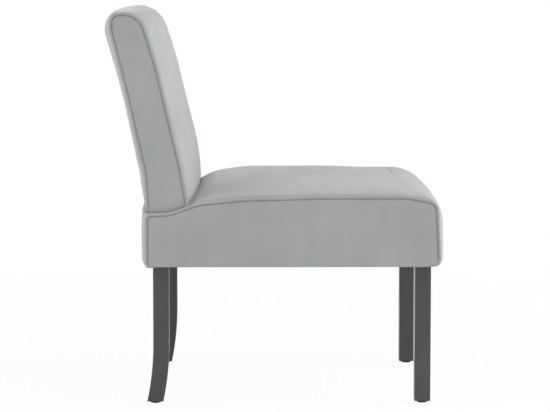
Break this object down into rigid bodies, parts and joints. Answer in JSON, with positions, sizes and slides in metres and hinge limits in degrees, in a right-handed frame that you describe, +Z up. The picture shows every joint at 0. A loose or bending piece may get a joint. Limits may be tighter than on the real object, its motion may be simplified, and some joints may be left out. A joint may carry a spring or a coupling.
{
  "type": "slipper chair",
  "caption": "Low armless upholstered chair with a piped box seat, a raked piped backrest and square legs, the rear ones swept back; for sitting.",
  "frame": {"origin": "on the floor, under the middle of the chair's overall box", "axes": "+Z up, the front of the seat faces -Y, the sitter's left is +X"},
  "size_m": [0.5376, 0.6763, 0.7747],
  "materials": {
    "velvet": "short-pile velvet, light grey",
    "welt": "short-pile velvet over cord, light grey",
    "foam": "open-cell foam, cream",
    "wadding": "polyester wadding, white",
    "webbing": "woven elastic, black",
    "burlap": "loose jute weave",
    "dust_cover": "thin non-woven cloth, black",
    "leg_wood": "black satin lacquer on hardwood",
    "board_wood": "raw plywood",
    "hardboard": "smooth hardboard",
    "steel": "zinc plated",
    "glide": "dark moulded plastic"
  },
  "bodies": {
    "root": {"seat_board_front": "board_wood", "seat_board_rear": "board_wood", "seat_board_left": "board_wood", "seat_board_right": "board_wood", "seat_batten_front": "board_wood", "seat_batten_rear": "board_wood", "seat_batten_left": "board_wood", "seat_batten_right": "board_wood", "corner_block_left": "board_wood", "corner_block_right": "board_wood", "seat_webbing_lengthwise": "webbing", "seat_webbing_crosswise": "webbing", "seat_burlap": "burlap", "seat_foam_pad": "foam", "seat_wadding_front": "wadding", "seat_wadding_rear": "wadding", "seat_wadding_left": "wadding", "seat_wadding_right": "wadding", "seat_cover_top": "velvet", "seat_cover_left": "velvet", "seat_cover_right": "velvet", "seat_dust_cover": "dust_cover", "seat_piping_left": "welt", "seat_piping_right": "welt", "back_former_left": "board_wood", "back_former_right": "board_wood", "back_post_left": "board_wood", "back_post_right": "board_wood", "back_rail_bottom": "board_wood", "back_rail_middle": "board_wood", "back_rail_top": "board_wood", "back_webbing": "webbing", "back_board": "hardboard", "back_foam_pad": "foam", "back_wadding_rear": "wadding", "back_wadding_left": "wadding", "back_wadding_right": "wadding", "back_cover_front": "velvet", "back_cover_left": "velvet", "back_cover_right": "velvet", "back_piping_left": "welt", "back_piping_right": "welt", "leg_front_left": "leg_wood", "leg_front_right": "leg_wood", "leg_rear_left": "leg_wood", "leg_rear_right": "leg_wood", "glide_front_left": "glide", "glide_front_right": "glide", "glide_rear_left": "glide", "glide_rear_right": "glide", "leg_bolts_front": "steel", "leg_bolts_rear": "steel", "bolt_washers": "steel", "tee_nuts": "steel", "corner_block_screws": "steel"}
  },
  "joints": []
}
